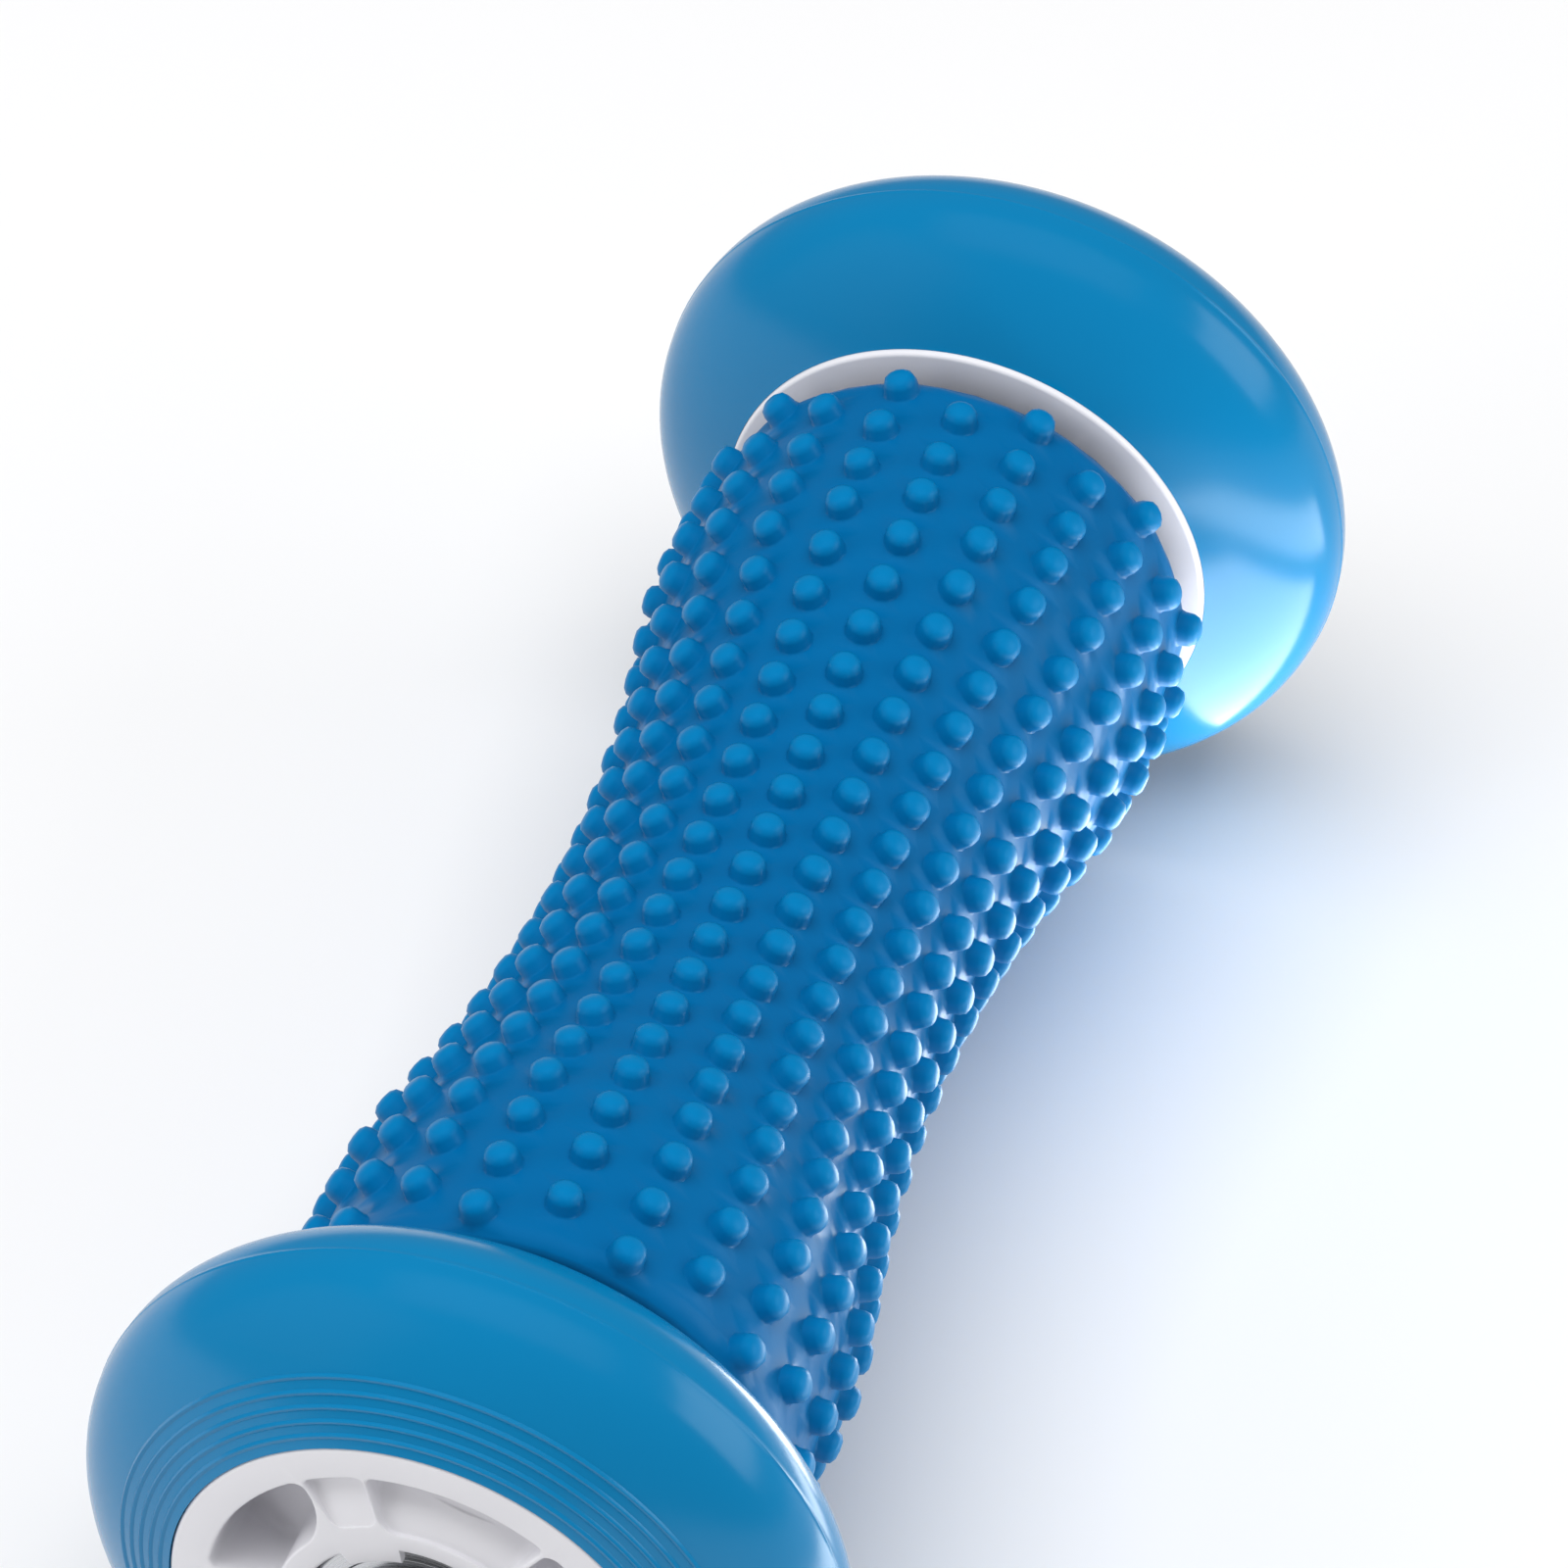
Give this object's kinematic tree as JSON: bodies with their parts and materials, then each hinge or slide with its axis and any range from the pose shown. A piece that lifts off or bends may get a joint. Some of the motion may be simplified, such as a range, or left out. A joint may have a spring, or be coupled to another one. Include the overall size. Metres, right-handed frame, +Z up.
{
  "type": "foot massage roller",
  "caption": "Foot massage roller: a waisted nubbed rubber sleeve turns between two ball-bearing wheels on one steel axle.",
  "frame": {"origin": "on the floor under the middle of the axle, the axle lying at the wheel radius above it", "axes": "+X along the axle, +Z up, +Y across the rolling direction to complete a right-handed frame"},
  "size_m": [0.1864, 0.072, 0.072],
  "materials": {
    "tyre_rubber": "soft gloss moulded elastomer",
    "sleeve_rubber": "soft satin moulded elastomer",
    "white_plastic": "satin moulded",
    "core_plastic": "matte moulded",
    "bright_steel": "zinc plated and ground",
    "bearing_steel": "ground and pressed"
  },
  "bodies": {
    "axle": {"axle_rod": "bright_steel", "left_axle_nut": "bright_steel", "right_axle_nut": "bright_steel", "left_speed_washer": "bright_steel", "right_speed_washer": "bright_steel", "left_bearing_spacer": "bright_steel", "right_bearing_spacer": "bright_steel", "left_inner_collar": "bright_steel", "right_inner_collar": "bright_steel", "left_outer_bearing_inner_race": "bearing_steel", "left_inner_bearing_inner_race": "bearing_steel", "right_outer_bearing_inner_race": "bearing_steel", "right_inner_bearing_inner_race": "bearing_steel"},
    "left_wheel": {"left_tyre": "tyre_rubber", "left_hub": "white_plastic", "left_outer_bearing_outer_race": "bearing_steel", "left_inner_bearing_outer_race": "bearing_steel", "left_outer_bearing_shield": "bearing_steel", "left_inner_bearing_shield": "bearing_steel"},
    "right_wheel": {"right_tyre": "tyre_rubber", "right_hub": "white_plastic", "right_outer_bearing_outer_race": "bearing_steel", "right_inner_bearing_outer_race": "bearing_steel", "right_outer_bearing_shield": "bearing_steel", "right_inner_bearing_shield": "bearing_steel"},
    "left_ball_sets": {"left_outer_bearing_ball_set": "bearing_steel", "left_inner_bearing_ball_set": "bearing_steel"},
    "right_ball_sets": {"right_outer_bearing_ball_set": "bearing_steel", "right_inner_bearing_ball_set": "bearing_steel"},
    "massage_roller": {"massage_sleeve": "sleeve_rubber", "roller_core": "core_plastic", "left_core_cap": "core_plastic", "right_core_cap": "core_plastic", "left_roller_bush": "white_plastic", "right_roller_bush": "white_plastic"}
  },
  "joints": [
    {"name": "left_wheel_spin", "type": "hinge", "parent": "axle", "child": "left_wheel", "pos_m": [-0.0762, 0, 0.036], "axis": [1, 0, 0], "continuous": true},
    {"name": "right_wheel_spin", "type": "hinge", "parent": "axle", "child": "right_wheel", "pos_m": [0.0762, 0, 0.036], "axis": [1, 0, 0], "continuous": true},
    {"name": "massage_roller_spin", "type": "hinge", "parent": "axle", "child": "massage_roller", "pos_m": [0, 0, 0.036], "axis": [1, 0, 0], "continuous": true},
    {"name": "left_balls_orbit", "type": "hinge", "parent": "axle", "child": "left_ball_sets", "pos_m": [-0.0762, 0, 0.036], "axis": [1, 0, 0], "continuous": true},
    {"name": "right_balls_orbit", "type": "hinge", "parent": "axle", "child": "right_ball_sets", "pos_m": [0.0762, 0, 0.036], "axis": [1, 0, 0], "continuous": true}
  ],
  "couplings": [
    {"joint": "left_balls_orbit", "follows": "left_wheel_spin", "ratio": 0.632},
    {"joint": "right_balls_orbit", "follows": "right_wheel_spin", "ratio": 0.632}
  ]
}
